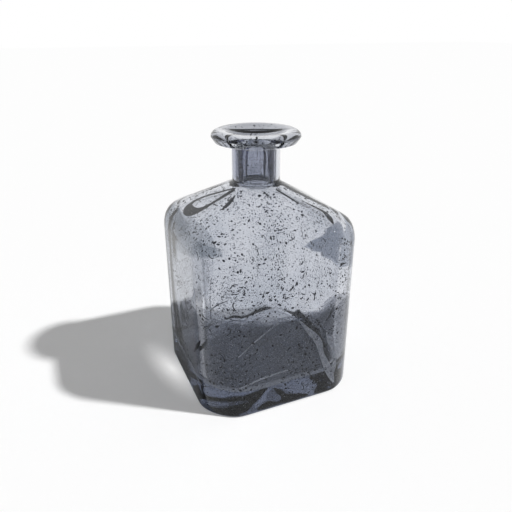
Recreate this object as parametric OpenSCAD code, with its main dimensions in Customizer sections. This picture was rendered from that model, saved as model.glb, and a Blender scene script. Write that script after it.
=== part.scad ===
// A square glass bottle with cut corners, a short round neck and a flat-headed
// hollow glass stopper that seals on a clear ring.
// The origin is the middle of the foot, on the surface that the bottle stands on, +Z up.

/* [Body] */
// Width of the body across its flat sides
body_w = 100; // [80:1:140]
// Depth of the body across its flat sides
body_d = 100; // [80:1:140]
// Leg of the flat cut at each upright corner
corner_cut = 18.8; // [12:0.2:24]
// How far a cut corner bows outwards at its middle
corner_bow = 3.1; // [0:0.1:4]
// Height at which the upright walls start to round over into the shoulder
wall_h = 96; // [70:1:140]
// Radius of the rounding between wall and shoulder
shoulder_r = 22; // [14:0.5:28]
// Angle through which that rounding turns before the shoulder runs straight
shoulder_turn = 33; // [25:1:50]
// Height of the straight run of the shoulder, up to the foot of the neck
shoulder_rise = 19; // [12:0.5:26]
// Bevel along the bottom edge
foot_bevel = 1; // [0.5:0.1:3]

/* [Glass] */
// Thickness of the walls and the shoulder
wall_t = 5; // [3.5:0.5:9]
// Thickness of the base
base_t = 10; // [6:0.5:20]
// Width of the round hollow under the base
kick_d = 66; // [40:1:70]
// Depth of that hollow
kick_h = 1.2; // [0.6:0.1:3]

/* [Neck] */
// Outer diameter of the neck
neck_d = 28; // [24:0.5:36]
// Length of the neck above the shoulder
neck_h = 22; // [14:0.5:32]
// Thickness of the neck's wall
neck_wall = 1.9; // [1.5:0.1:2.6]
// Radius that rounds the edges of the neck's rim
rim_r = 0.5; // [0.3:0.1:0.7]

/* [Stopper] */
// Gap all round between the plug and the neck
plug_gap = 0.25; // [0.15:0.05:0.5]
// Length of the plug below the underside of the head
plug_h = 26.5; // [20:0.5:34]
// Thickness of the plug's wall
plug_wall = 3.85; // [3:0.05:4.5]
// Thickness of the plug's closed end
plug_end_t = 3; // [2:0.5:5]
// Bevel round the plug's lower edge
plug_bevel = 1.2; // [0.5:0.1:1.6]
// Bevel round the floor of the plug's hollow
floor_bevel = 1.5; // [0.5:0.1:2]
// Diameter of the head at its widest
head_d = 51.6; // [48:0.2:60]
// Thickness of the head
head_t = 7; // [6:0.2:9]
// Height of the head's widest line above its underside
head_mid_h = 3.4; // [3:0.1:5]
// How far the head's top edge stands in from that line
head_top_inset = 2; // [1:0.1:4]
// How far the head's bottom edge stands in from that line
head_low_inset = 2.2; // [1:0.1:4]
// Diameter at which the top of the head starts to flare down into the hollow
mouth_d = 38; // [30:0.5:39]
// Depth of that flare
mouth_h = 13; // [6:0.5:16]

/* [Seal] */
// Thickness of the clear ring between the head and the rim
seal_t = 1; // [0.6:0.1:2]
// How far the ring's edge stands in from the neck's outer side
seal_inset = 0.4; // [0.2:0.1:1]
// Gap between the ring and the plug
seal_gap = 0.05; // [0.02:0.01:0.08]

/* [Hidden] */

// Steps in the rounding of the shoulder, along a bowed corner, along a flat side and down the flare
turn_steps = 6;
bow_steps = 6;
side_steps = 6;
flare_steps = 6;
// How much the leg of a corner cut shrinks for each millimetre that the outline moves in
cut_shrink = 2 - sqrt(2);
// How far a cut runs past the face that it opens
past = 1;
// How far the shoulder runs on inside the neck, so that the two overlap
tuck = 1;

neck_r = neck_d / 2;
bore_r = neck_r - neck_wall;
shoulder_z = wall_h + shoulder_r * sin(shoulder_turn);
neck_z = shoulder_z + shoulder_rise;
rim_z = neck_z + neck_h;
seal_z = rim_z + seal_t;
head_z = seal_z + head_t;
head_r = head_d / 2;
plug_r = bore_r - plug_gap;
hollow_r = plug_r - plug_wall;
mouth_r = mouth_d / 2;
plug_z = seal_z - plug_h;
hollow_z = plug_z + plug_end_t;

// How far the shoulder has come in, measured on the flat sides, when the rounding ends
turn_inset = shoulder_r * (1 - cos(shoulder_turn));
// Slope of the straight run on the flat sides, between the rounding and the neck
slope = atan2(shoulder_rise, min(body_w, body_d) / 2 - turn_inset - neck_r);

// One cut corner of the outline, as a bowed row of points, anticlockwise from above.
// turn is the quarter that the corner lies in, and even quarters start on an X side.
function corner(half_x, half_y, cut, bow, turn) =
    let (sx = turn == 0 || turn == 3 ? 1 : -1,
         sy = turn < 2 ? 1 : -1)
    [for (i = [0 : bow_steps])
        let (k = turn % 2 == 0 ? i / bow_steps : 1 - i / bow_steps,
             out = 4 * bow * k * (1 - k) / sqrt(2))
        [sx * (half_x - cut * k + out), sy * (half_y - cut * (1 - k) + out)]];

// The points between two corners, along a flat side
function side(from, to) =
    [for (i = [1 : side_steps - 1]) from + (to - from) * i / side_steps];

// The body's outline, moved in by inset; its corner cuts shrink as it comes in
function outline(inset) =
    let (cut = max(corner_cut - cut_shrink * inset, corner_cut / 20),
         corners = [for (turn = [0 : 3])
            corner(body_w / 2 - inset, body_d / 2 - inset, cut, corner_bow * cut / corner_cut, turn)])
    [for (turn = [0 : 3])
        each concat(corners[turn], side(corners[turn][bow_steps], corners[(turn + 1) % 4][0]))];

// That outline as a level ring of points at height z
function square_ring(inset, z) = [for (p = outline(inset)) [p[0], p[1], z]];

// A round ring of radius r at height z, each point in line with one of the outline's
function round_ring(r, z) =
    [for (p = outline(turn_inset)) let (a = atan2(p[1], p[0])) [r * cos(a), r * sin(a), z]];

// A closed skin over a stack of rings that have as many points each.
// Each end is a fan of triangles round a point on the axis.
module loft(rings) {
    count = len(rings[0]);
    levels = len(rings);
    low_mid = levels * count;
    high_mid = low_mid + 1;
    mids = [[0, 0, rings[0][0][2]], [0, 0, rings[levels - 1][0][2]]];
    sides = [for (level = [0 : levels - 2], i = [0 : count - 1])
        let (here = level * count + i,
             next = level * count + (i + 1) % count)
        each [[here, here + count, next], [next, here + count, next + count]]];
    ends = [for (i = [0 : count - 1])
        let (next = (i + 1) % count,
             last = (levels - 1) * count)
        each [[low_mid, i, next], [high_mid, last + next, last + i]]];
    polyhedron(points = concat([for (ring = rings) each ring], mids), faces = concat(sides, ends));
}

// The shape of the body and shoulder, with every face moved in by t.
// The outside has t = 0, and the inside has the wall's thickness.
// Its straight slope passes radius top_r at height top_z.
module shell(t, foot_z, top_r, top_z) {
    loft(concat(
        [square_ring(t + foot_bevel, foot_z), square_ring(t, foot_z + foot_bevel)],
        [for (i = [0 : turn_steps])
            let (turn = shoulder_turn * i / turn_steps)
            square_ring(t + (shoulder_r - t) * (1 - cos(turn)),
                        wall_h + (shoulder_r - t) * sin(turn))],
        [round_ring(top_r - tuck, top_z + tuck * tan(slope))]));
}

// Where the inside of the shoulder meets the bore, for the same wall all the way up
inner_top_z = wall_h + (shoulder_r - wall_t) * sin(shoulder_turn)
    + (min(body_w, body_d) / 2 - turn_inset - wall_t * cos(shoulder_turn) - bore_r) * tan(slope);

// The bottle: a thick-walled square body, a shoulder and an open neck
module bottle() {
    color([0.45, 0.5, 0.58, 0.55])
        difference() {
            union() {
                shell(0, 0, neck_r, neck_z);
                rotate_extrude($fn = 64)
                    neck_outline();
            }
            shell(wall_t, base_t, bore_r, inner_top_z);
            translate([0, 0, inner_top_z - past])
                cylinder(r = bore_r, h = rim_z - inner_top_z + 2 * past, $fn = 64);
            translate([0, 0, -past])
                cylinder(d = kick_d, h = kick_h + past, $fn = 96);
        }
}

// Half section of the neck, solid: the bore is cut afterwards
module neck_outline() {
    polygon([[0, neck_z - wall_t], [neck_r, neck_z - wall_t], [neck_r, rim_z - rim_r],
             [neck_r - rim_r, rim_z], [0, rim_z]]);
}

// The flare of the mouth, a quarter of an ellipse from the level top down into the upright hollow
flare = [for (i = [0 : flare_steps])
    let (turn = 90 * i / flare_steps)
    [hollow_r + (mouth_r - hollow_r) * (1 - sin(turn)),
     head_z - mouth_h * (1 - cos(turn))]];

// The stopper: a flat bevelled head on a hollow plug, open on top and closed below
module stopper() {
    color([0.5, 0.54, 0.6, 0.6])
        rotate_extrude($fn = 96)
            polygon([
                [0, plug_z],
                [plug_r - plug_bevel, plug_z],
                [plug_r, plug_z + plug_bevel],
                [plug_r, seal_z],
                [head_r - head_low_inset, seal_z],
                [head_r, seal_z + head_mid_h],
                [head_r - head_top_inset, head_z],
                each flare,
                [hollow_r, hollow_z + floor_bevel],
                [hollow_r - floor_bevel, hollow_z],
                [0, hollow_z]
            ]);
}

// The seal: a clear flat ring round the plug, between the head and the neck's rim
module seal_ring() {
    color([0.85, 0.88, 0.9, 0.5])
        translate([0, 0, rim_z])
            difference() {
                cylinder(r = neck_r - seal_inset, h = seal_t, $fn = 64);
                translate([0, 0, -past])
                    cylinder(r = plug_r + seal_gap, h = seal_t + 2 * past, $fn = 64);
            }
}

bottle();
stopper();
seal_ring();
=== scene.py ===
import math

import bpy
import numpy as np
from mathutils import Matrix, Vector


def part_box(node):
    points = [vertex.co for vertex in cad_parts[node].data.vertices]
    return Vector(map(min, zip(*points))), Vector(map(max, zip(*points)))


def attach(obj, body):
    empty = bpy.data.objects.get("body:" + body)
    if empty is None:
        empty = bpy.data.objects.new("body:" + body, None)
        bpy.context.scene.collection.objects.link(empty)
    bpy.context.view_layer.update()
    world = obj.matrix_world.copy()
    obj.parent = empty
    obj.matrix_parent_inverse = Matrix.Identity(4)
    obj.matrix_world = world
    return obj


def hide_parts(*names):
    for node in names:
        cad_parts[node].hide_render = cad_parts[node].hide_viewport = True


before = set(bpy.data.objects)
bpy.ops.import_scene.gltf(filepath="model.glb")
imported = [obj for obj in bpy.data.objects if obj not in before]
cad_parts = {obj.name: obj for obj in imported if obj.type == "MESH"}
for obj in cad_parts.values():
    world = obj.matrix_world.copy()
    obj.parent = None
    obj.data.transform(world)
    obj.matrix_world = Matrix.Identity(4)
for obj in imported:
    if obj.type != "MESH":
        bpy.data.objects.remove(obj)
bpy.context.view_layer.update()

# %% [markdown]
# # A square bottle of flecked smoky glass, with a hollow glass stopper
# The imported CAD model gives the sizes: a square bottle, a stopper with a flat head and a hollow plug, and a
# clear ring between them. Blender gives the looks. Glass shows both of its sides at once, so the bottle is
# modelled as one closed skin that goes up the outside, over the rim and down the inside.

bottle_low, bottle_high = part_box("bottle")
stopper_low, stopper_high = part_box("stopper")
ring_low, ring_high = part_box("seal_ring")

MM = 0.001
HALF = bottle_high.x
RIM_Z = bottle_high.z
SEAL_Z = ring_high.z
HEAD_Z = stopper_high.z
HEAD_R = stopper_high.x
PLUG_Z = stopper_low.z
print("half width", HALF, "rim", RIM_Z, "head top", HEAD_Z, "head radius", HEAD_R)

# %% [markdown]
# ## The outline of the body
# The body is a square whose four upright corners are cut off and bowed outwards. Each side and each corner
# gets a fixed number of points, so every level has as many points and the levels can be joined by quads.
# A press mould can't make a knife edge, so the line is smoothed a little along its length.

# %% The outline
CORNER_CUT = 18.8 * MM
CORNER_BOW = 3.1 * MM
CUT_SHRINK = 2 - math.sqrt(2)
SIDE_POINTS = 20
CORNER_POINTS = 18
AROUND = 4 * (SIDE_POINTS + CORNER_POINTS)
EDGE_SMOOTHING = 5
INSIDE_SMOOTHING = 40


def quarter(inset):
    """One corner and one side of the outline moved in by inset, as complex numbers, anticlockwise."""
    half = HALF - inset
    cut = max(CORNER_CUT - CUT_SHRINK * inset, CORNER_CUT / 20)
    bow = CORNER_BOW * cut / CORNER_CUT
    k = np.linspace(0, 1, CORNER_POINTS, endpoint=False)
    out = 4 * bow * k * (1 - k) / math.sqrt(2)
    corner = (half - cut * k + out) + 1j * (half - cut * (1 - k) + out)
    eased = (1 - np.cos(np.pi * np.linspace(0, 1, SIDE_POINTS, endpoint=False))) / 2
    spread = 0.5 * eased + 0.5 * np.linspace(0, 1, SIDE_POINTS, endpoint=False)
    side = (half - cut) * (1 - 2 * spread) + 1j * half
    return np.concatenate([corner, side])


def square_ring(inset):
    """The whole outline as an array of x and y, with its edges smoothed, on the inside more than outside."""
    one = quarter(inset)
    line = np.concatenate([one * 1j**turn for turn in range(4)])
    for _ in range(EDGE_SMOOTHING if inset < 4 * MM else INSIDE_SMOOTHING):
        line = line / 2 + (np.roll(line, 1) + np.roll(line, -1)) / 4
    return np.stack([line.real, line.imag], 1)


ANGLES = np.arctan2(*square_ring(3.5 * MM).T[::-1])


def round_ring(radius):
    """A circle with a point in line with each of the outline's."""
    return radius * np.stack([np.cos(ANGLES), np.sin(ANGLES)], 1)


def level(roundness, inset, radius, z):
    """A level row of points, between the square outline (roundness 0) and a circle (1)."""
    flat = (1 - roundness) * square_ring(inset) + roundness * round_ring(radius)
    return np.column_stack([flat, np.full(AROUND, z)])


print("points around", AROUND)

# %% [markdown]
# ## The outside and the inside of the bottle
# Going up the outside, the levels run from the hollow under the foot, round the foot's edge, up the wall,
# over a rounded shoulder and along a straight slope that turns round as it nears the neck. The inside comes
# back down at the wall's thickness. Its floor meets the wall in a wide curve and rises and falls a little,
# as thick pressed glass does where it cooled last: that bends the dark line low in the bottle, and so does
# the edge of the painted shade there.

# %% The sizes of the glass
WALL_H = 96 * MM
SHOULDER_R = 22 * MM
SHOULDER_TURN = math.radians(33)
SHOULDER_RISE = 19 * MM
FOOT_ROUND = 1.6 * MM
WALL_T = 5 * MM
BASE_T = 10 * MM
KICK_R = 33 * MM
KICK_H = 1.2 * MM
NECK_R = 14 * MM
NECK_WALL = 1.9 * MM
RIM_ROUND = 0.5 * MM
BORE_R = NECK_R - NECK_WALL
FLOOR_ROUND = 10 * MM

TURN_INSET = SHOULDER_R * (1 - math.cos(SHOULDER_TURN))
SHOULDER_Z = WALL_H + SHOULDER_R * math.sin(SHOULDER_TURN)
NECK_Z = SHOULDER_Z + SHOULDER_RISE
SLOPE = SHOULDER_RISE / (HALF - TURN_INSET - NECK_R)
INNER_TURN_Z = WALL_H + (SHOULDER_R - WALL_T) * math.sin(SHOULDER_TURN)
INNER_TOP_Z = INNER_TURN_Z + SLOPE * (HALF - TURN_INSET - WALL_T * math.cos(SHOULDER_TURN) - BORE_R)


def steps(start, end, count):
    """Count values from start up to, but without, end."""
    return list(np.linspace(start, end, count, endpoint=False))


def outer_levels():
    """The rows of the outside, from the middle of the underside to the rim."""
    rows = [level(1, 0, KICK_R * k, KICK_H * (1 + math.cos(math.pi * k)) / 2) for k in steps(0.1, 1, 16)]
    rows += [level(1 - k, FOOT_ROUND, KICK_R, 0) for k in steps(0, 1, 6)]
    rows += [level(0, FOOT_ROUND * (1 - math.sin(a)), 0, FOOT_ROUND * (1 - math.cos(a)))
             for a in steps(0, math.pi / 2, 6)]
    rows += [level(0, 0, 0, z) for z in steps(FOOT_ROUND, WALL_H, 44)]
    rows += [level(0, SHOULDER_R * (1 - math.cos(a)), 0, WALL_H + SHOULDER_R * math.sin(a))
             for a in steps(0, SHOULDER_TURN, 12)]
    crease = len(rows)
    rows += [level(k, TURN_INSET, NECK_R, SHOULDER_Z + k * SHOULDER_RISE) for k in steps(0, 0.2, 8)]
    rows += [level(k, TURN_INSET, NECK_R, SHOULDER_Z + k * SHOULDER_RISE) for k in steps(0.2, 0.86, 16)]
    smooth_rows(rows, crease - 3, crease + 5, 8)
    near = len(rows)
    rows += [level(k, TURN_INSET, NECK_R, SHOULDER_Z + k * SHOULDER_RISE) for k in steps(0.86, 1, 10)]
    rows += [level(1, 0, NECK_R, z) for z in steps(NECK_Z, NECK_Z + 3 * MM, 8)]
    smooth_rows(rows, near, len(rows) - 1, 14)
    rows += [level(1, 0, NECK_R, z) for z in steps(NECK_Z + 3 * MM, RIM_Z - RIM_ROUND, 12)]
    rows += [level(1, 0, NECK_R - RIM_ROUND * (1 - math.cos(a)), RIM_Z - RIM_ROUND * (1 - math.sin(a)))
             for a in steps(0, math.pi / 2, 5)]
    return rows


def inner_levels(thickness=WALL_T, base=BASE_T, bore=BORE_R, top=INNER_TOP_Z):
    """The rows of the inside, from the rim's inner edge down to the middle of the floor."""
    turn = SHOULDER_R - thickness
    rows = [level(1, 0, bore + RIM_ROUND * (1 - math.sin(a)), RIM_Z - RIM_ROUND * (1 - math.cos(a)))
            for a in steps(0, math.pi / 2, 5)]
    rows += [level(1, 0, bore, z) for z in steps(RIM_Z - RIM_ROUND, top + 3 * MM, 14)]
    near = len(rows)
    rows += [level(1, 0, bore, z) for z in steps(top + 3 * MM, top, 6)]
    rows += [level(1 - k, TURN_INSET + thickness * math.cos(SHOULDER_TURN), bore,
                   top - k * (top - INNER_TURN_Z)) for k in steps(0, 0.14, 8)]
    smooth_rows(rows, near, len(rows) - 1, 14)
    rows += [level(1 - k, TURN_INSET + thickness * math.cos(SHOULDER_TURN), bore,
                   top - k * (top - INNER_TURN_Z)) for k in steps(0.14, 1, 18)]
    near = len(rows) - 4
    rows += [level(0, thickness + turn * (1 - math.cos(a)), 0, WALL_H + turn * math.sin(a))
             for a in steps(SHOULDER_TURN, 0, 10)]
    smooth_rows(rows, near, len(rows) - 2, 6)
    rows += [level(0, thickness, 0, z) for z in steps(WALL_H, base + FLOOR_ROUND, 36)]
    rows += [level(0, thickness + FLOOR_ROUND * (1 - math.cos(a)), 0, base + FLOOR_ROUND * (1 - math.sin(a)))
             for a in steps(0, math.pi / 2, 12)]
    rows += [level(k, thickness + FLOOR_ROUND, 20 * MM, base) for k in steps(0, 1, 8)]
    rows += [level(1, 0, r, base) for r in steps(20 * MM, 2 * MM, 5)]
    return rows


def smooth_rows(rows, first, last, passes):
    """Rounds the crease between rows first and last, with every point kept on its own upright line."""
    for _ in range(passes):
        before = [row.copy() for row in rows]
        for i in range(max(first, 1), min(last, len(rows) - 2) + 1):
            rows[i] = before[i] / 2 + (before[i - 1] + before[i + 1]) / 4


def skin(name, rows, smooth=True):
    """A closed mesh over a stack of rows, with a fan round a middle point at each end."""
    count = len(rows[0])
    points = np.concatenate(rows)
    middles = [rows[0].mean(0), rows[-1].mean(0)]
    points = np.concatenate([points, middles])
    first, last = len(points) - 2, len(points) - 1
    faces = []
    for i in range(len(rows) - 1):
        low, high = i * count, (i + 1) * count
        faces += [(low + j, low + (j + 1) % count, high + (j + 1) % count, high + j) for j in range(count)]
    faces += [(first, (j + 1) % count, j) for j in range(count)]
    top = (len(rows) - 1) * count
    faces += [(last, top + j, top + (j + 1) % count) for j in range(count)]
    mesh = bpy.data.meshes.new(name)
    mesh.from_pydata(points.tolist(), [], faces)
    mesh.polygons.foreach_set("use_smooth", [smooth] * len(mesh.polygons))
    mesh.update()
    piece = bpy.data.objects.new(name, mesh)
    bpy.context.scene.collection.objects.link(piece)
    return piece


# %% [markdown]
# ## Unevenness of the inside
# The inside of pressed glass was never against a polished mould, so it wanders by a few tenths of a
# millimetre. That small swell is what makes the view through the walls wobble. It is a sum of a few sine
# waves across the faces, so it is the same on each run, and it fades out towards the neck's bore.

# %% The swell of the inside
SWELL = 0.35 * MM
FLOOR_SWELL = 1.3 * MM


def swell(points):
    """Moves the points of the inside in and out a little, and the rim of its floor up and down."""
    x, y, z = points.T
    fade = np.clip((INNER_TURN_Z - z) / (20 * MM), 0, 1)
    a = np.arctan2(y, x)
    wave = np.sin(3 * a + 40 * z + 0.7) + 0.7 * np.sin(5 * a - 70 * z + 2) + 0.5 * np.sin(9 * a + 95 * z)
    reach = np.hypot(x, y)
    scale = 1 - fade * SWELL * (1 + wave / 2) / np.maximum(reach, 10 * MM)
    low = np.clip((BASE_T + 22 * MM - z) / (22 * MM), 0, 1)
    edge = np.clip(reach / (30 * MM), 0, 1)
    lift = FLOOR_SWELL * low * edge * (1 + 0.8 * np.sin(2 * a + 0.6) + 0.5 * np.sin(5 * a + 1.9))
    return np.column_stack([x * scale, y * scale, z + lift])


inside = [swell(row) for row in inner_levels()]
bottle = skin("bottle_glass", outer_levels() + inside)
print("bottle", len(bottle.data.polygons), "faces")

# %% [markdown]
# ## The stopper
# The stopper was turned in one piece: a head like a thick coin with a bevelled, rounded rim, and under it a
# straight plug. It is hollow. The hollow is closed at the bottom and opens at the top in a wide flare. A
# half section turned round the axis makes it, with more points where the line bends.

# %% The stopper's half section
PLUG_R = 11.85 * MM
HOLLOW_R = 8.0 * MM
PLUG_END_T = 3 * MM
PLUG_ROUND = 1.4 * MM
HEAD_MID_Z = SEAL_Z + 3.4 * MM
HEAD_LOW_R = HEAD_R - 2.2 * MM
HEAD_TOP_R = HEAD_R - 2.0 * MM
MOUTH_R = 19 * MM
MOUTH_H = 13 * MM
TURN_POINTS = 144


def arc(middle, radii, start, end, count):
    """Points of an ellipse's arc, from start to end in degrees, without the end."""
    return [(middle[0] + radii[0] * math.cos(math.radians(a)), middle[1] + radii[1] * math.sin(math.radians(a)))
            for a in steps(start, end, count)]


def line(start, end, count):
    """Points of a straight line, without its end."""
    return [tuple(p) for p in np.linspace(start, end, count, endpoint=False)]


def turned(name, section, points=TURN_POINTS):
    """A closed skin: the half section turned round the Z axis. It starts and ends near the axis."""
    a = np.arange(points) * 2 * math.pi / points
    rows = [np.column_stack([r * np.cos(a), r * np.sin(a), np.full(points, z)]) for r, z in section]
    return skin(name, rows)


def stopper_section():
    low_z, floor_z = PLUG_Z, PLUG_Z + PLUG_END_T
    rim_z = HEAD_Z - 1.9 * MM
    return (line((2 * MM, low_z), (PLUG_R - PLUG_ROUND, low_z), 4)
            + arc((PLUG_R - PLUG_ROUND, low_z + PLUG_ROUND), (PLUG_ROUND, PLUG_ROUND), -90, 0, 6)
            + line((PLUG_R, low_z + PLUG_ROUND), (PLUG_R, SEAL_Z - 0.6 * MM), 12)
            + arc((PLUG_R + 0.6 * MM, SEAL_Z - 0.6 * MM), (0.6 * MM, 0.6 * MM), 180, 90, 4)
            + line((PLUG_R + 0.6 * MM, SEAL_Z), (HEAD_LOW_R - 0.6 * MM, SEAL_Z), 8)
            + rounded_rim(rim_z)
            + line((MOUTH_R + 2.2 * MM, HEAD_Z), (MOUTH_R, HEAD_Z), 2)
            + [(HOLLOW_R + (MOUTH_R - HOLLOW_R) * (1 - math.sin(t)), HEAD_Z - MOUTH_H * (1 - math.cos(t)) ** 0.7)
               for t in steps(0, math.pi / 2, 20)]
            + line((HOLLOW_R, HEAD_Z - MOUTH_H), (HOLLOW_R, floor_z + 3 * MM), 12)
            + arc((HOLLOW_R - 3 * MM, floor_z + 3 * MM), (3 * MM, 3 * MM), 0, -90, 8)
            + line((HOLLOW_R - 3 * MM, floor_z), (1 * MM, floor_z), 3))


def rounded_rim(rim_z):
    """The rim of the head: a bevel outwards, a rounded widest line, and a rounded shoulder on top."""
    bevel_top = (HEAD_R - 0.35 * MM, HEAD_MID_Z - 0.6 * MM)
    return (line((HEAD_LOW_R - 0.6 * MM, SEAL_Z), (HEAD_LOW_R + 0.25 * MM, SEAL_Z + 0.35 * MM), 3)
            + line((HEAD_LOW_R + 0.25 * MM, SEAL_Z + 0.35 * MM), bevel_top, 5)
            + line(bevel_top, (HEAD_R, HEAD_MID_Z), 3)
            + arc((HEAD_R - 4.4 * MM, HEAD_MID_Z), (4.4 * MM, HEAD_Z - HEAD_MID_Z), 0, 90, 14))


stopper = turned("stopper_glass", stopper_section())
print("stopper", len(stopper.data.polygons), "faces")

# %% [markdown]
# ## The seal ring
# A clear soft ring sits on the neck's rim, round the plug. Squeezed rings bulge, so its edges are rounded.

# %% The seal ring
SEAL_IN = PLUG_R + 0.08 * MM
SEAL_OUT = ring_high.x
SEAL_BULGE = 0.3 * MM


def seal_section():
    low, high = ring_low.z, ring_high.z
    middle = (low + high) / 2
    half = (high - low) / 2
    return (arc((SEAL_OUT - SEAL_BULGE, middle), (SEAL_BULGE, half), -90, 90, 12)
            + arc((SEAL_IN + SEAL_BULGE, middle), (SEAL_BULGE, half), 90, 270, 12))


def turned_ring(name, section, points=96):
    """A closed ring: the section, which goes all the way round itself, turned round the Z axis."""
    a = np.arange(points) * 2 * math.pi / points
    count = len(section)
    places = [(r * math.cos(t), r * math.sin(t), z) for t in a for r, z in section]
    faces = [(i * count + j, ((i + 1) % points) * count + j, ((i + 1) % points) * count + (j + 1) % count,
              i * count + (j + 1) % count) for i in range(points) for j in range(count)]
    mesh = bpy.data.meshes.new(name)
    mesh.from_pydata(places, [], faces)
    mesh.polygons.foreach_set("use_smooth", [True] * len(faces))
    mesh.update()
    piece = bpy.data.objects.new(name, mesh)
    bpy.context.scene.collection.objects.link(piece)
    return piece


seal = turned_ring("clear_seal", seal_section())
print("seal", len(seal.data.polygons), "faces")


# %% [markdown]
# ## A shader group for flecked, veiled glass
# The glass is full of fine dark grains and of paler and darker veils. Both the bottle and the stopper show
# them, so one node group makes the masks, and each material sets its own amounts. Grains come from a fine
# noise that is cut off high, and a coarse noise gathers them in clouds. The group gives only masks and a
# height. The shader itself stays in each material.

# %% The group
def add(tree, kind, **settings):
    """A new node, with its settings and, by socket name, its values."""
    node = tree.nodes.new(kind)
    for name, value in settings.items():
        if name in node.inputs:
            node.inputs[name].default_value = value
        else:
            setattr(node, name, value)
    return node


def ramp(tree, value, low, high):
    """Value, stretched so that low becomes 0 and high becomes 1."""
    node = tree.nodes.new("ShaderNodeMapRange")
    node.inputs["From Min"].default_value = low
    node.inputs["From Max"].default_value = high
    tree.links.new(value, node.inputs["Value"])
    return node.outputs["Result"]


def maths(tree, operation, one, two):
    """One plus, minus or times two, where each is a socket or a number."""
    node = tree.nodes.new("ShaderNodeMath")
    node.operation = operation
    for socket, value in zip(node.inputs, (one, two)):
        if isinstance(value, bpy.types.NodeSocket):
            tree.links.new(value, socket)
        else:
            socket.default_value = value
    return node.outputs[0]


def flecked_glass_group():
    """Puts out Grains, Veil and Ripple, from the object's own coordinates."""
    tree = bpy.data.node_groups.new("flecked_glass", "ShaderNodeTree")
    inputs = (("Grain Scale", 1100.0), ("Cloud Scale", 42.0), ("Grain Level", 0.66), ("Veil Scale", 24.0))
    for name, value in inputs:
        socket = tree.interface.new_socket(name, in_out="INPUT", socket_type="NodeSocketFloat")
        socket.default_value = value
    for name in ("Grains", "Veil", "Ripple"):
        tree.interface.new_socket(name, in_out="OUTPUT", socket_type="NodeSocketFloat")
    given = tree.nodes.new("NodeGroupInput")
    out = tree.nodes.new("NodeGroupOutput")
    place = tree.nodes.new("ShaderNodeTexCoord").outputs["Object"]

    def noise(scale, detail, roughness=0.5):
        node = add(tree, "ShaderNodeTexNoise", Detail=detail, Roughness=roughness)
        tree.links.new(place, node.inputs["Vector"])
        tree.links.new(given.outputs[scale], node.inputs["Scale"])
        return node.outputs["Fac"]

    fine = noise("Grain Scale", 2.0, 0.6)
    cloud = noise("Cloud Scale", 3.0)
    lifted = maths(tree, "ADD", fine, maths(tree, "MULTIPLY", maths(tree, "SUBTRACT", cloud, 0.5), 0.45))
    above = maths(tree, "SUBTRACT", lifted, given.outputs["Grain Level"])
    tree.links.new(ramp(tree, above, 0.0, 0.05), out.inputs["Grains"])
    veil = noise("Veil Scale", 4.0, 0.55)
    tree.links.new(ramp(tree, veil, 0.42, 0.68), out.inputs["Veil"])
    tree.links.new(noise("Cloud Scale", 2.0), out.inputs["Ripple"])
    return tree


flecked = flecked_glass_group()
print("group", flecked.name, "outputs", [s.name for s in flecked.interface.items_tree if s.in_out == "OUTPUT"])

# %% [markdown]
# ## The glass of the bottle
# Glass gets its colour from depth: a thin rim is nearly clear and a thick base is dark. Volume absorption
# gives just that. The base colour carries the grains and the veils, and painted shade: a dark underside and a
# dark layer low in the bottle for the shadowed table seen through the base, the bottle's own shadow seen
# through the back, darker patches on the -X face and high on both sides, and a dark band up the neck.

# %% Material: marbled glass with painted shade
GRAIN_TINT = (0.035, 0.04, 0.05, 1)


def new_material(name):
    material = bpy.data.materials.new(name)
    material.use_nodes = True
    tree = material.node_tree
    return material, tree, tree.nodes["Principled BSDF"]


def blend_colours(tree, factor, one, two):
    """One where the factor is 0 and two where it is 1; each is a colour or a socket."""
    node = tree.nodes.new("ShaderNodeMix")
    node.data_type = "RGBA"
    tree.links.new(factor, node.inputs["Factor"])
    for name, value in (("A", one), ("B", two)):
        socket = [s for s in node.inputs if s.name == name and s.type == "RGBA"][0]
        if isinstance(value, bpy.types.NodeSocket):
            tree.links.new(value, socket)
        else:
            socket.default_value = value
    return [s for s in node.outputs if s.type == "RGBA"][0]


def glass_material(name, absorb, density, masks, tint, ripple, shades):
    """Glass with grains and veils. shades are further tints, each with the function that makes its mask.
    Some of the bottle's are painted shade.
    """
    material, tree, shader = new_material(name)
    group = tree.nodes.new("ShaderNodeGroup")
    group.node_tree = flecked
    for key, value in masks.items():
        group.inputs[key].default_value = value
    colour = blend_colours(tree, group.outputs["Veil"], *tint)
    place = tree.nodes.new("ShaderNodeTexCoord").outputs["Object"]
    for mask_of, shade in shades:
        colour = blend_colours(tree, mask_of(tree, place), colour, shade)
    colour = blend_colours(tree, group.outputs["Grains"], colour, GRAIN_TINT)
    tree.links.new(colour, shader.inputs["Base Color"])
    shader.inputs["Transmission Weight"].default_value = 1.0
    shader.inputs["IOR"].default_value = 1.5
    shader.inputs["Roughness"].default_value = 0.0
    shader.inputs["Specular Tint"].default_value = (0.6, 0.62, 0.65, 1)
    bump = add(tree, "ShaderNodeBump", Strength=0.25, Distance=ripple)
    tree.links.new(group.outputs["Ripple"], bump.inputs["Height"])
    tree.links.new(bump.outputs["Normal"], shader.inputs["Normal"])
    depth = tree.nodes.new("ShaderNodeVolumeAbsorption")
    depth.inputs["Color"].default_value = absorb
    depth.inputs["Density"].default_value = density
    tree.links.new(depth.outputs["Volume"], tree.nodes["Material Output"].inputs["Volume"])
    return material


def height_mask(full, none):
    """Makes a mask that is 1 up to the height full and fades to 0 at the height none."""
    def mask(tree, place):
        parts = tree.nodes.new("ShaderNodeSeparateXYZ")
        tree.links.new(place, parts.inputs[0])
        return ramp(tree, parts.outputs["Z"], none, full)
    return mask


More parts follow.
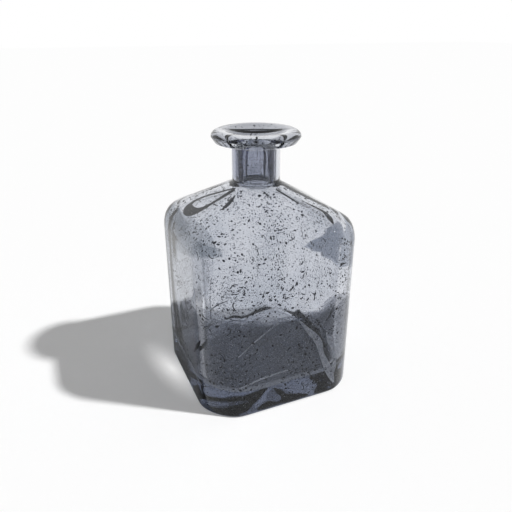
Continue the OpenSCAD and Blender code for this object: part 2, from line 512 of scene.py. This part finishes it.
def patch_mask(planes, wander=2.5 * MM, soft=0.5 * MM, seeds=0.0):
    """Makes a mask of the space in front of every plane, each an (x, y, z) direction and a distance.
    A noise makes its edge wander. With seeds, fine points in it are that much weaker."""
    def mask(tree, place):
        noise = add(tree, "ShaderNodeTexNoise", Scale=38.0, Detail=1.5, Roughness=0.4)
        tree.links.new(place, noise.inputs["Vector"])
        shift = maths(tree, "MULTIPLY", maths(tree, "SUBTRACT", noise.outputs["Fac"], 0.5), 2 * wander)
        least = None
        for direction, distance in planes:
            dot = tree.nodes.new("ShaderNodeVectorMath")
            dot.operation = "DOT_PRODUCT"
            tree.links.new(place, dot.inputs[0])
            dot.inputs[1].default_value = direction
            depth = maths(tree, "SUBTRACT", dot.outputs["Value"], distance)
            least = depth if least is None else maths(tree, "MINIMUM", least, depth)
        whole = ramp(tree, maths(tree, "ADD", least, shift), 0.0, soft)
        if not seeds:
            return whole
        fine = add(tree, "ShaderNodeTexNoise", Scale=1300.0, Detail=2.0, Roughness=0.6)
        tree.links.new(place, fine.inputs["Vector"])
        holes = maths(tree, "MULTIPLY", ramp(tree, fine.outputs["Fac"], 0.50, 0.66), -seeds)
        return maths(tree, "MULTIPLY", whole, maths(tree, "ADD", holes, 1.0))
    return mask


def tube_mask(low, high, radius):
    """Makes a mask of what lies between two heights and farther than radius from the axis."""
    def mask(tree, place):
        flat = tree.nodes.new("ShaderNodeVectorMath")
        flat.operation = "MULTIPLY"
        tree.links.new(place, flat.inputs[0])
        flat.inputs[1].default_value = (1, 1, 0)
        reach = tree.nodes.new("ShaderNodeVectorMath")
        reach.operation = "LENGTH"
        tree.links.new(flat.outputs[0], reach.inputs[0])
        between = maths(tree, "MINIMUM", height_mask(high - 0.5 * MM, high)(tree, place),
                        height_mask(low + 0.5 * MM, low)(tree, place))
        return maths(tree, "MINIMUM", between, ramp(tree, reach.outputs["Value"], radius - 0.2 * MM, radius))
    return mask


# Painted shade: the foot's underside, except its back strip, is darkened for the table in the bottle's own shadow.
UNDERSIDE_PAINTED_SHADE = (patch_mask([((0, 0, -1), -2 * MM), ((0, -1, 0), -30 * MM)], wander=1 * MM), (0.2, 0.22, 0.26, 1))
# Painted shade: a dark layer low in the bottle, higher towards the front and left, with fine lighter points in it. It
# stands in for the shadowed table seen through the base.
LOW_PAINTED_SHADE = (patch_mask([((0, 0, -1), -62 * MM), ((0, -0.58, -1), -56 * MM), ((-0.45, -0.9, -1), -48 * MM),
                     ((0, -1, 0), -31 * MM)], wander=9 * MM, seeds=0.8), (0.235, 0.25, 0.29, 1))
# Painted shadow: the lower back wall, higher towards -X, is greyed where the bottle's own shadow shows through.
BACK_PAINTED_SHADOW = (patch_mask([((0, 1, 0), 25 * MM), ((-0.45, 0, -1), -8 * MM)], wander=3 * MM), (0.60, 0.63, 0.69, 1))
# Painted shade: the upper part of the -X face, the side turned away from the lamp, is darker.
LEFT_FACE_PAINTED_SHADE = (patch_mask([((-1, 0, 0), 42 * MM), ((0, 0.58, 1), 54 * MM)], wander=3 * MM, soft=4 * MM),
             (0.52, 0.54, 0.58, 1))
# Painted shade: a dark band up one side of the neck, for the dark surroundings that its thick glass bends into view.
NECK_PAINTED_SHADE = (patch_mask([((-0.917, 0.399, 0), 10 * MM), ((0, 0, 1), NECK_Z + 1 * MM)], wander=1 * MM,
                        soft=2 * MM), (0.42, 0.44, 0.53, 1))
# Painted shade: a darker patch high on the -X side near the shoulder, for shade seen through the thick wall.
LEFT_HIGH_PAINTED_SHADE = (patch_mask([((-1, 0, 0), 38 * MM), ((0, 0.29, 1), 90 * MM), ((0, 0, -1), -107 * MM)],
                        wander=2 * MM), (0.34, 0.37, 0.41, 1))
# Painted shade: a darker patch high on the +X side, for shade seen through the thick wall.
RIGHT_HIGH_PAINTED_SHADE = (patch_mask([((1, 0, 0), 38 * MM), ((0, 0.23, 1), 71 * MM), ((0, -0.8, -1), -83 * MM),
                          ((0, 0, -1), -104 * MM)], wander=2 * MM), (0.26, 0.29, 0.35, 1))
# Painted shade: the lower part of the +X wall, rising towards the front, dark like the layer low in the bottle.
RIGHT_LOW_PAINTED_SHADE = (patch_mask([((1, 0, 0), 40 * MM), ((0, -0.9, -1), -22 * MM)], wander=4 * MM), (0.2, 0.21, 0.235, 1))
marbled_and_shaded = glass_material(
    "marbled_glass", (0.62, 0.65, 0.72, 1), 40,
    {"Grain Scale": 1000, "Cloud Scale": 45, "Grain Level": 0.66, "Veil Scale": 26},
    tint=((0.83, 0.84, 0.867, 1), (0.70, 0.724, 0.765, 1)), ripple=0.2 * MM,
    shades=[NECK_PAINTED_SHADE, LEFT_FACE_PAINTED_SHADE, LEFT_HIGH_PAINTED_SHADE, RIGHT_HIGH_PAINTED_SHADE, BACK_PAINTED_SHADOW, LOW_PAINTED_SHADE, RIGHT_LOW_PAINTED_SHADE, UNDERSIDE_PAINTED_SHADE])
bottle.data.materials.append(marbled_and_shaded)

# %% Material: the stopper's glass
PLUG_SHADE = (tube_mask(PLUG_Z + 4 * MM, SEAL_Z, 10.5 * MM), (0.56, 0.57, 0.65, 1))
# Painted shade: the half of the head turned away from the camera is darker.
HEAD_FAR_PAINTED_SHADE = (patch_mask([((0.4, 0.917, 0), -1 * MM), ((0, 0, 1), SEAL_Z + 1 * MM)], wander=5 * MM, soft=3 * MM),
              (0.31, 0.32, 0.355, 1))
streaked = glass_material(
    "stopper_glass", (0.66, 0.68, 0.74, 1), 28,
    {"Grain Scale": 900, "Cloud Scale": 70, "Grain Level": 0.68, "Veil Scale": 60},
    tint=((0.82, 0.83, 0.85, 1), (0.68, 0.70, 0.74, 1)), ripple=0.1 * MM, shades=[PLUG_SHADE, HEAD_FAR_PAINTED_SHADE])
stopper.data.materials.append(streaked)

# %% Material: the clear seal
seal_material, seal_tree, seal_shader = new_material("clear_seal")
seal_shader.inputs["Base Color"].default_value = (0.9, 0.92, 0.94, 1)
seal_shader.inputs["Transmission Weight"].default_value = 0.85
seal_shader.inputs["IOR"].default_value = 1.42
seal_cloud = add(seal_tree, "ShaderNodeTexNoise", Scale=600.0, Detail=2.0)
seal_tree.links.new(seal_tree.nodes.new("ShaderNodeTexCoord").outputs["Object"], seal_cloud.inputs["Vector"])
seal_rough = ramp(seal_tree, seal_cloud.outputs["Fac"], 0.3, 0.7)
seal_tree.links.new(maths(seal_tree, "ADD", maths(seal_tree, "MULTIPLY", seal_rough, 0.1), 0.18),
                    seal_shader.inputs["Roughness"])
seal.data.materials.append(seal_material)

# %% Materials: the dark flakes and the grey specks inside the glass
def fleck_material(name, dark, pale):
    """Dull mineral bits whose colour varies from one to the next."""
    material, tree, shader = new_material(name)
    noise = add(tree, "ShaderNodeTexNoise", Scale=900.0, Detail=1.0)
    tree.links.new(tree.nodes.new("ShaderNodeTexCoord").outputs["Object"], noise.inputs["Vector"])
    tree.links.new(blend_colours(tree, ramp(tree, noise.outputs["Fac"], 0.35, 0.65), dark, pale),
                   shader.inputs["Base Color"])
    shader.inputs["Roughness"].default_value = 0.7
    shader.inputs["Specular IOR Level"].default_value = 0.0
    return material


dark_flake = fleck_material("dark_flake", (0.003, 0.003, 0.005, 1), (0.02, 0.024, 0.035, 1))
grey_speck = fleck_material("grey_speck", (0.14, 0.145, 0.16, 1), (0.5, 0.51, 0.54, 1))
violet_streak = fleck_material("violet_streak", (0.04, 0.04, 0.09, 1), (0.15, 0.17, 0.3, 1))
# This colour serves the pale seed in the base and also the pale strips that are painted light.
pale_seed_and_painted_light = fleck_material("pale_seed_and_painted_light", (0.45, 0.47, 0.51, 1), (0.85, 0.86, 0.88, 1))


# %% [markdown]
# ## Flakes in the wall
# The larger flecks are real bits in the glass, at all depths, so they shift against each other as the bottle
# turns. A Geometry Nodes tree scatters points over a guide sheet in the middle of the wall, keeps those
# where a coarse noise is high, moves each one along the wall's depth, and puts a flat low-poly shard there.

# %% The tree that scatters flakes
def socket_id(tree, name):
    return [s.identifier for s in tree.interface.items_tree if s.name == name and s.in_out == "INPUT"][0]


def shard(tree):
    """A flat lump: a low ball that the scatter tree squashes."""
    ball = tree.nodes.new("GeometryNodeMeshIcoSphere")
    ball.inputs["Radius"].default_value = 0.5
    ball.inputs["Subdivisions"].default_value = 1
    return ball.outputs["Mesh"]


def thread(tree):
    """A thin bowed stroke, like a drawn-out streak in the glass."""
    bow = tree.nodes.new("GeometryNodeCurveArc")
    for key, value in (("Resolution", 8), ("Radius", 0.6), ("Start Angle", 0.0), ("Sweep Angle", 1.7)):
        bow.inputs[key].default_value = value
    ring = tree.nodes.new("GeometryNodeCurvePrimitiveCircle")
    ring.inputs["Resolution"].default_value = 4
    ring.inputs["Radius"].default_value = 0.06
    tube = tree.nodes.new("GeometryNodeCurveToMesh")
    tree.links.new(bow.outputs["Curve"], tube.inputs["Curve"])
    tree.links.new(ring.outputs["Curve"], tube.inputs["Profile Curve"])
    tube.inputs["Fill Caps"].default_value = True
    return tube.outputs["Mesh"]


def scatter_tree_of(name, shape):
    tree = bpy.data.node_groups.new(name, "GeometryNodeTree")
    tree.interface.new_socket("Geometry", in_out="INPUT", socket_type="NodeSocketGeometry")
    for label, value in (("Density", 5e5), ("Cloud Scale", 60.0), ("Cloud Level", 0.5), ("Cloud Soft", 0.15),
                         ("Length", 0.9 * MM), ("Width", 0.4 * MM), ("Thickness", 0.16 * MM), ("Depth", 2.5 * MM),
                         ("Tilt", 0.4)):
        tree.interface.new_socket(label, in_out="INPUT", socket_type="NodeSocketFloat").default_value = value
    tree.interface.new_socket("Seed", in_out="INPUT", socket_type="NodeSocketInt").default_value = 1
    tree.interface.new_socket("Material", in_out="INPUT", socket_type="NodeSocketMaterial")
    tree.interface.new_socket("Geometry", in_out="OUTPUT", socket_type="NodeSocketGeometry")
    node, link = tree.nodes.new, tree.links.new
    given = node("NodeGroupInput")

    cloud = node("ShaderNodeTexNoise")
    link(node("GeometryNodeInputPosition").outputs[0], cloud.inputs["Vector"])
    link(given.outputs["Cloud Scale"], cloud.inputs["Scale"])
    cloud.inputs["Detail"].default_value = 3.0
    above = maths(tree, "SUBTRACT", cloud.outputs["Fac"], given.outputs["Cloud Level"])
    share = node("ShaderNodeClamp")
    link(maths(tree, "DIVIDE", above, given.outputs["Cloud Soft"]), share.inputs["Value"])
    thick = maths(tree, "MULTIPLY", maths(tree, "ADD", share.outputs[0], 0.04), given.outputs["Density"])

    points = node("GeometryNodeDistributePointsOnFaces")
    link(given.outputs["Geometry"], points.inputs["Mesh"])
    link(thick, points.inputs["Density"])
    link(given.outputs["Seed"], points.inputs["Seed"])

    def chance(low, high, offset):
        """A random number between two, for each point."""
        value = node("FunctionNodeRandomValue")
        value.data_type = "FLOAT"
        for socket, number in ((value.inputs[2], low), (value.inputs[3], high)):
            socket.default_value = number
        link(maths(tree, "ADD", given.outputs["Seed"], offset), value.inputs["Seed"])
        return value.outputs[1]

    shift = node("ShaderNodeVectorMath")
    shift.operation = "SCALE"
    link(points.outputs["Normal"], shift.inputs[0])
    link(maths(tree, "MULTIPLY", chance(-1, 1, 11), given.outputs["Depth"]), shift.inputs["Scale"])
    moved = node("GeometryNodeSetPosition")
    link(points.outputs["Points"], moved.inputs["Geometry"])
    link(shift.outputs[0], moved.inputs["Offset"])

    spin = node("FunctionNodeRotateRotation")
    spin.rotation_space = "LOCAL"
    link(points.outputs["Rotation"], spin.inputs["Rotation"])
    turn = node("ShaderNodeCombineXYZ")
    for axis, offset in (("X", 21), ("Y", 22)):
        link(maths(tree, "MULTIPLY", chance(-1, 1, offset), given.outputs["Tilt"]), turn.inputs[axis])
    link(chance(0, 6.283, 23), turn.inputs["Z"])
    link(turn.outputs[0], spin.inputs["Rotate By"])
    size = node("ShaderNodeCombineXYZ")
    grow = chance(0, 1, 31)
    grow = maths(tree, "ADD", maths(tree, "MULTIPLY", maths(tree, "POWER", grow, 3.0), 1.2), 0.35)
    link(maths(tree, "MULTIPLY", maths(tree, "MULTIPLY", grow, chance(0.5, 1.5, 32)), given.outputs["Length"]),
         size.inputs["X"])
    link(maths(tree, "MULTIPLY", grow, given.outputs["Width"]), size.inputs["Y"])
    link(maths(tree, "MULTIPLY", grow, given.outputs["Thickness"]), size.inputs["Z"])

    placed = node("GeometryNodeInstanceOnPoints")
    link(moved.outputs[0], placed.inputs["Points"])
    link(shape(tree), placed.inputs["Instance"])
    link(spin.outputs[0], placed.inputs["Rotation"])
    link(size.outputs[0], placed.inputs["Scale"])
    real = node("GeometryNodeRealizeInstances")
    link(placed.outputs[0], real.inputs[0])
    finish = node("GeometryNodeSetMaterial")
    link(real.outputs[0], finish.inputs["Geometry"])
    link(given.outputs["Material"], finish.inputs["Material"])
    link(finish.outputs[0], node("NodeGroupOutput").inputs["Geometry"])
    return tree


def scatter(name, guide, tree, material, **values):
    """The flakes of one guide sheet as a plain mesh. The guide is removed."""
    modifier = guide.modifiers.new("scatter", "NODES")
    modifier.node_group = tree
    for label, value in {"Material": material, **values}.items():
        modifier[socket_id(tree, label.replace("_", " "))] = value
    bpy.context.view_layer.update()
    graph = bpy.context.evaluated_depsgraph_get()
    mesh = bpy.data.meshes.new_from_object(guide.evaluated_get(graph), depsgraph=graph)
    mesh.name = name
    guide.modifiers.clear()
    bpy.data.objects.remove(guide)
    piece = bpy.data.objects.new(name, mesh)
    bpy.context.scene.collection.objects.link(piece)
    print(name, len(mesh.polygons), "faces")
    return piece


def linked_rows(name, rows):
    """An open sheet over a stack of rows, for the scatter to work on."""
    count = len(rows[0])
    faces = [(i * count + j, i * count + (j + 1) % count, (i + 1) * count + (j + 1) % count, (i + 1) * count + j)
             for i in range(len(rows) - 1) for j in range(count)]
    mesh = bpy.data.meshes.new(name)
    mesh.from_pydata(np.concatenate(rows).tolist(), [], faces)
    guide = bpy.data.objects.new(name, mesh)
    bpy.context.scene.collection.objects.link(guide)
    return guide


def low_guide():
    """A sheet in the middle of the lower wall."""
    return linked_rows("low_guide", [level(0, WALL_T / 2, 0, z) for z in steps(3 * MM, 62 * MM, 8)])


def wall_guide():
    """A sheet in the middle of the wall, from near the foot up to the foot of the neck."""
    middle = WALL_T / 2
    turn = SHOULDER_R - middle
    top_z = WALL_H + turn * math.sin(SHOULDER_TURN)
    rows = [level(0, middle, 0, z) for z in steps(3 * MM, WALL_H, 14)]
    rows += [level(0, middle + turn * (1 - math.cos(a)), 0, WALL_H + turn * math.sin(a))
             for a in steps(0, SHOULDER_TURN, 4)]
    rows += [level(k, TURN_INSET + middle * math.cos(SHOULDER_TURN), NECK_R - 1 * MM,
                   top_z + k * (NECK_Z - 4 * MM - top_z)) for k in (0, 0.25, 0.5, 0.75, 1)]
    return linked_rows("wall_guide", rows)


def stopper_guide():
    """A sheet in the middle of the plug's wall and of the head."""
    section = [(9.9 * MM, PLUG_Z + 2 * MM), (9.9 * MM, SEAL_Z - 4 * MM), (10.4 * MM, SEAL_Z - 0.5 * MM),
               (12.5 * MM, SEAL_Z + 1.6 * MM), (16 * MM, SEAL_Z + 3 * MM), (20 * MM, SEAL_Z + 3.5 * MM),
               (23.2 * MM, SEAL_Z + 3.5 * MM)]
    a = np.arange(48) * 2 * math.pi / 48
    return linked_rows("stopper_guide", [np.column_stack([r * np.cos(a), r * np.sin(a), np.full(48, z)])
                                         for r, z in section])


shard_nodes = scatter_tree_of("scatter_shards", shard)
thread_nodes = scatter_tree_of("scatter_threads", thread)
wall_flakes = scatter("wall_flakes", wall_guide(), shard_nodes, dark_flake,
                      Density=4.2e5, Cloud_Scale=52.0, Cloud_Level=0.48, Cloud_Soft=0.14, Length=1.2 * MM,
                      Width=1.0 * MM, Thickness=0.4 * MM, Depth=1.8 * MM, Seed=5)
wall_specks = scatter("wall_specks", wall_guide(), shard_nodes, grey_speck,
                      Density=3.5e5, Cloud_Scale=30.0, Cloud_Level=0.36, Cloud_Soft=0.25, Length=0.55 * MM,
                      Width=0.45 * MM, Thickness=0.25 * MM, Depth=2.0 * MM, Seed=8)
wall_threads = scatter("wall_threads", wall_guide(), thread_nodes, dark_flake,
                       Density=3.2e4, Cloud_Scale=40.0, Cloud_Level=0.47, Cloud_Soft=0.16, Length=3.6 * MM,
                       Width=3.2 * MM, Thickness=2.4 * MM, Depth=1.6 * MM, Tilt=0.1, Seed=3)
wall_seed = scatter("wall_seed", low_guide(), shard_nodes, pale_seed_and_painted_light,
                    Density=6.0e5, Cloud_Scale=40.0, Cloud_Level=0.38, Cloud_Soft=0.25, Length=0.36 * MM,
                    Width=0.3 * MM, Thickness=0.2 * MM, Depth=1.8 * MM, Seed=21)
stopper_flakes = scatter("stopper_flakes", stopper_guide(), shard_nodes, dark_flake,
                         Density=3.8e5, Cloud_Scale=90.0, Cloud_Level=0.5, Cloud_Soft=0.14, Length=1.3 * MM,
                         Width=0.6 * MM, Thickness=0.3 * MM, Depth=0.9 * MM, Seed=12)

# %% [markdown]
# ## Streaks in the glass
# Where the glass was gathered round the shoulder it folded over itself and drew its smoke out into dark
# streaks. Each streak is a thin strip inside the glass. It is broad where the fold was thick, and runs out to
# points. Low in the walls, pale strips of the same make are painted light: they stand in for bright strokes
# that the thick glass bends into view there.

# %% The streaks
STREAK_DEPTH = 1.8 * MM
STREAK_T = 0.3 * MM


def on_slope(down, sideways, deeper):
    """A place under the surface of the shoulder on the -X side, at a distance down from the axis."""
    flat = -down + 1j * sideways
    x, y = square_ring(TURN_INSET).T
    full = np.interp(np.angle(flat), np.arctan2(y, x), np.hypot(x, y), period=2 * math.pi)
    z = SHOULDER_Z + SHOULDER_RISE * (full - abs(flat)) / (full - NECK_R)
    return flat, z - (STREAK_DEPTH + deeper) * math.hypot(1, SLOPE)


def in_wall(height, sideways, deeper):
    """A place in the middle of the upright wall on the -X side."""
    return -(HALF - WALL_T / 2 - deeper) + 1j * sideways, height


def in_plug(height, around, deeper):
    """A place in the middle of the plug's wall, around being measured along it."""
    radius = (PLUG_R + HOLLOW_R) / 2 - deeper
    return radius * np.exp(1j * around / radius), PLUG_Z + height


def streak(where, side_turn, stations):
    """Points and faces of a strip on one side. A station is the two coordinates that where takes and the
    strip's half width there, in millimetres."""
    stations = np.array(stations, float) * MM
    fine = np.linspace(0, len(stations) - 1, 8 * len(stations))
    path = np.stack([np.interp(fine, range(len(stations)), stations[:, i]) for i in range(3)], 1)
    for _ in range(12):
        path[1:-1] = path[1:-1] / 2 + (path[:-2] + path[2:]) / 4
    along = np.gradient(path[:, :2], axis=0)
    along /= np.linalg.norm(along, axis=1)[:, None]
    across = np.stack([-along[:, 1], along[:, 0]], 1) * path[:, 2:3]
    edges = (path[:, :2] + across).T, (path[:, :2] - across).T
    rows = []
    for edge, deeper in ((edges[0], 0), (edges[1], 0), (edges[1], STREAK_T), (edges[0], STREAK_T)):
        flat, z = where(*edge, deeper)
        flat = flat * 1j ** side_turn
        rows.append(np.column_stack([flat.real, flat.imag, z]))
    count = len(path)
    faces = [(k * count + i, k * count + i + 1, ((k + 1) % 4) * count + i + 1, ((k + 1) % 4) * count + i)
             for k in range(4) for i in range(count - 1)]
    faces += [(0, count, 2 * count, 3 * count), tuple(k * count + count - 1 for k in (3, 2, 1, 0))]
    if where is in_wall:
        faces = [face[::-1] for face in faces]
    return np.concatenate(rows), faces


def mirrored(stations, grow=1.0):
    return [(first * grow, -sideways, half) for first, sideways, half in stations]


def streaks_piece(name, strips, material):
    """One mesh of all the strips."""
    points, faces = [], []
    for strip, strip_faces in strips:
        start = sum(len(p) for p in points)
        faces += [tuple(start + i for i in face) for face in strip_faces]
        points.append(strip)
    mesh = bpy.data.meshes.new(name)
    mesh.from_pydata(np.concatenate(points).tolist(), [], faces)
    mesh.materials.append(material)
    piece = bpy.data.objects.new(name, mesh)
    bpy.context.scene.collection.objects.link(piece)
    print(name, len(faces), "faces")
    return piece


LOOP = [(14, -4.5, 0.3), (20.6, 2.5, 0.7), (27, 11, 0.8), (33, 15, 1.2), (38, 14, 2.6), (39, 8, 3.3),
        (37.8, 2, 3.2), (33, -1.5, 1.8), (27, -3, 1.0), (20, -4.2, 1.7), (15, -4.8, 1.0)]
SHORT = [(17, -10, 0.2), (20, -12.5, 1.1), (23.5, -14.5, 1.5), (27, -15.5, 0.3)]
LINE = [(14, -6, 0.4), (19, -10.5, 0.6), (25, -15.5, 0.3)]
WEDGE = [(24, -20, 0.2), (30, -28.5, 1.0), (35.5, -29.5, 2.0), (40.5, -29, 0.3)]
DASH = [(33, -21, 0.2), (39, -26, 1.2), (44, -30, 1.1), (48, -32, 0.2)]
CURL = [(57, -5.6, 0.3), (47.3, -13.2, 1.6), (39.4, -19.7, 2.4), (30.3, -21.6, 1.4), (20, -26, 2.2), (12, -29.5, 2.4),
        (5, -32, 0.6)]
DROP = [(44, -24.5, 0.4), (38, -27.5, 2.4), (33, -29.5, 1.2), (25, -31, 1.0), (18, -31.5, 1.9), (12, -31.5, 0.4)]
HAIR = [(41.7, 31.6, 0.15), (50.2, 21.3, 0.35), (58.5, 7.2, 0.15)]
SHELF = [(20.1, 31.3, 0.3), (23.5, 16.8, 0.7), (24.3, 0.6, 0.3)]
shoulder_streaks = streaks_piece("shoulder_streaks", [
    streak(on_slope, 0, LOOP), streak(on_slope, 0, SHORT), streak(on_slope, 1, WEDGE), streak(on_slope, 1, LINE),
    streak(on_slope, 2, mirrored(LOOP, 0.94)), streak(on_slope, 2, WEDGE), streak(on_slope, 3, mirrored(SHORT)),
    streak(on_slope, 3, LOOP), streak(in_wall, 0, DASH), streak(in_wall, 2, mirrored(DASH))], dark_flake)
PLUG_STREAK = [(4, 0, 0.4), (9, 0.6, 1.3), (17, -0.2, 1.5), (23, 0.5, 1.1), (26, 0.3, 0.3)]
plug_streaks = streaks_piece("plug_streaks", [
    streak(in_plug, 0, [(height, around + 9.9 * math.radians(angle), half * grow)
                        for height, around, half in PLUG_STREAK])
    for angle, grow in ((-165, 1.1), (-62, 1.2), (-8, 0.7), (22, 0.9), (112, 0.8))], violet_streak)
# Painted light: pale strips low on the walls, most on the front's right, for bright strokes the glass bends.
painted_light_strips = streaks_piece("painted_light_strips", [
    streak(in_wall, 1, CURL), streak(in_wall, 1, DROP), streak(in_wall, 1, HAIR), streak(in_wall, 1, SHELF),
    streak(in_wall, 2, SHELF), streak(in_wall, 3, mirrored(SHELF)), streak(in_wall, 3, DROP[2:]),
    streak(in_wall, 0, mirrored(SHELF, 0.8))], pale_seed_and_painted_light)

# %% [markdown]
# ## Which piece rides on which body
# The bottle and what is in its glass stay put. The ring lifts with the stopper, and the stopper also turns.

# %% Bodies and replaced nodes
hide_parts("bottle")
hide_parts("stopper")
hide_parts("seal_ring")
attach(bottle, "bottle")
for piece in (wall_flakes, wall_specks, wall_seed, wall_threads, shoulder_streaks, painted_light_strips):
    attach(piece, "bottle")
for piece in (stopper_flakes, plug_streaks):
    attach(piece, "stopper")
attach(seal, "seal")
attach(stopper, "stopper")

# %% [markdown]
# ## Floor, light and camera
# The floor is a white table with painted light on it: a soft bright patch in its shadow beside the foot stands
# in for light that the glass gathers, and the table is lifted where it is seen through glass. The light is one
# broad lamp like a low window at the right, and an even white sky. The sky is white to the camera and in and
# through glass, and dimmer where it lights surfaces, so that a white floor in full light comes out just white
# and its shadow stays grey.

# %% The floor
FLOOR_SIZE = 6.0
FLOOR_Z = -0.02 * MM
SHADOW_LIFT = 0.2
# Painted light: the strength of a bright patch in the floor's shadow, beside the foot.
PAINTED_CAUSTIC_LIFT = 0.6
# Painted light: a lift of the table wherever it is seen through glass, for the light the glass lets through.
PAINTED_GLASS_LIGHT = 0.5
floor_mesh = bpy.data.meshes.new("floor")
floor_mesh.from_pydata([(x * FLOOR_SIZE, y * FLOOR_SIZE, FLOOR_Z) for x, y in ((-1, -1), (1, -1), (1, 1), (-1, 1))],
                       [], [(0, 1, 2, 3)])
floor = bpy.data.objects.new("floor", floor_mesh)
bpy.context.scene.collection.objects.link(floor)
floor_material, floor_tree, floor_shader = new_material("white_table")
floor_shader.inputs["Base Color"].default_value = (0.98, 0.98, 0.98, 1)
floor_shader.inputs["Roughness"].default_value = 0.9
floor_shader.inputs["Specular IOR Level"].default_value = 0.0
# Painted light: a soft bright patch in the shadow left of the foot, for light the glass gathers onto the table.
painted_caustic_place = floor_tree.nodes.new("ShaderNodeMapping")
painted_caustic_place.vector_type = "TEXTURE"
painted_caustic_place.inputs["Location"].default_value = (-56 * MM, 13 * MM, 0)
painted_caustic_place.inputs["Rotation"].default_value = (0, 0, math.radians(12))
painted_caustic_place.inputs["Scale"].default_value = (15 * MM, 46 * MM, 1)
floor_tree.links.new(floor_tree.nodes.new("ShaderNodeTexCoord").outputs["Object"], painted_caustic_place.inputs["Vector"])
from_painted_caustic = floor_tree.nodes.new("ShaderNodeVectorMath")
from_painted_caustic.operation = "LENGTH"
floor_tree.links.new(painted_caustic_place.outputs["Vector"], from_painted_caustic.inputs[0])
painted_caustic = maths(floor_tree, "POWER", ramp(floor_tree, from_painted_caustic.outputs["Value"], 1.0, 0.0), 1.6)
glow = add(floor_tree, "ShaderNodeEmission", Strength=1.0)
both = floor_tree.nodes.new("ShaderNodeMixShader")
floor_path = floor_tree.nodes.new("ShaderNodeLightPath")
lift = maths(floor_tree, "ADD", maths(floor_tree, "MULTIPLY", painted_caustic, PAINTED_CAUSTIC_LIFT), SHADOW_LIFT)
# Painted light on the table as seen through glass.
through_glass = maths(floor_tree, "MULTIPLY", floor_path.outputs["Is Transmission Ray"], PAINTED_GLASS_LIGHT)
floor_tree.links.new(maths(floor_tree, "MAXIMUM", through_glass, maths(
    floor_tree, "MULTIPLY", floor_path.outputs["Is Camera Ray"], lift)), both.inputs["Fac"])
floor_tree.links.new(floor_shader.outputs[0], both.inputs[1])
floor_tree.links.new(glow.outputs[0], both.inputs[2])
floor_tree.links.new(both.outputs[0], floor_tree.nodes["Material Output"].inputs["Surface"])
floor.data.materials.append(floor_material)

# %% The sky
SKY_FOR_SURFACES = 0.2
world = bpy.data.worlds.new("sky")
bpy.context.scene.world = world
world.use_nodes = True
sky = world.node_tree
background = sky.nodes["Background"]
background.inputs["Color"].default_value = (1, 1, 1, 1)
path = sky.nodes.new("ShaderNodeLightPath")
seen = maths(sky, "MAXIMUM", path.outputs["Is Camera Ray"],
             maths(sky, "MAXIMUM", path.outputs["Is Glossy Ray"], path.outputs["Is Transmission Ray"]))
strength = maths(sky, "ADD", maths(sky, "MULTIPLY", seen, 1 - SKY_FOR_SURFACES), SKY_FOR_SURFACES)
sky.links.new(strength, background.inputs["Strength"])

# %% The lamp
SUN_RISE = math.radians(47.5)
SUN_SIDE = math.radians(80)
CAMERA_TURN = math.radians(23.5)
sun_data = bpy.data.lights.new("window", "SUN")
sun_data.energy = math.pi * (1 - SKY_FOR_SURFACES) / math.sin(SUN_RISE)
sun_data.angle = math.radians(3)
sun = bpy.data.objects.new("window", sun_data)
bpy.context.scene.collection.objects.link(sun)
side = SUN_SIDE - CAMERA_TURN
towards_sun = Vector((math.sin(side) * math.cos(SUN_RISE), -math.cos(side) * math.cos(SUN_RISE), math.sin(SUN_RISE)))
sun.rotation_mode = "QUATERNION"
sun.rotation_quaternion = towards_sun.to_track_quat("Z", "Y")

# %% The camera
CAMERA_RISE = math.radians(24.26)
CAMERA_FAR = 0.3209
LOOK_AT = Vector((0, 0, 0.0782))
camera_data = bpy.data.cameras.new("camera")
camera_data.lens = 35.88
camera_data.sensor_width = 36
camera_data.clip_start = 0.01
camera = bpy.data.objects.new("camera", camera_data)
bpy.context.scene.collection.objects.link(camera)
away = Vector((-math.sin(CAMERA_TURN) * math.cos(CAMERA_RISE), -math.cos(CAMERA_TURN) * math.cos(CAMERA_RISE),
               math.sin(CAMERA_RISE)))
camera.location = LOOK_AT + away * CAMERA_FAR
camera.rotation_mode = "QUATERNION"
camera.rotation_quaternion = away.to_track_quat("Z", "Y")
bpy.context.scene.camera = camera

# %% The picture
scene = bpy.context.scene
scene.view_settings.view_transform = "Standard"
scene.cycles.max_bounces = 24
scene.cycles.transmission_bounces = 24
